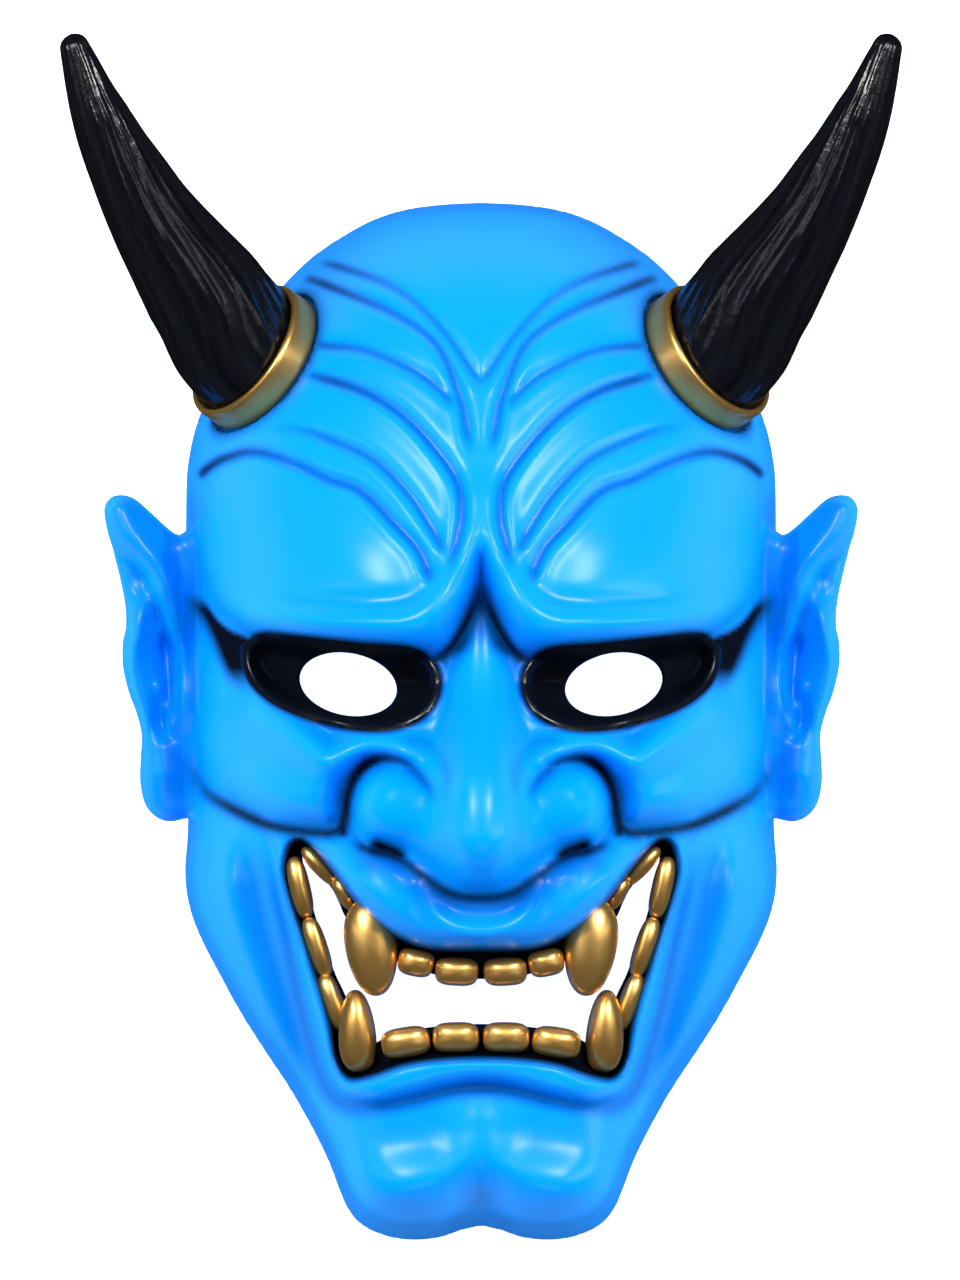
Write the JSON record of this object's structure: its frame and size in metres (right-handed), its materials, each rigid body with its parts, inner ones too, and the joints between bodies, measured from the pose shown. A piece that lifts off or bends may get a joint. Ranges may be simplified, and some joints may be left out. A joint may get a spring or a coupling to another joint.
{
  "type": "oni mask",
  "caption": "Horned demon face mask with carved brow, open eyes and a toothed open mouth, hollow behind, to be worn or hung on a wall.",
  "frame": {"origin": "middle of the bounding box seen from the front, on the plane of the back rim", "axes": "+Z is the way the face looks, +Y points from the chin to the crown, +X is to the reader's right when facing the mask; the mask lies on its back rim"},
  "size_m": [0.2088, 0.3004, 0.1024],
  "materials": {
    "blue_lacquer": "glossy sky-blue paint over cast resin, shaded black in the eye sockets, round the teeth and in the deep folds",
    "black_horn": "glossy black paint over moulded grooves",
    "gold": "polished gold plating over cast resin"
  },
  "bodies": {
    "root": {"face": "blue_lacquer", "horn_left": "black_horn", "horn_right": "black_horn", "horn_band_left": "gold", "horn_band_right": "gold", "upper_teeth": "gold", "lower_teeth": "gold"}
  },
  "joints": []
}
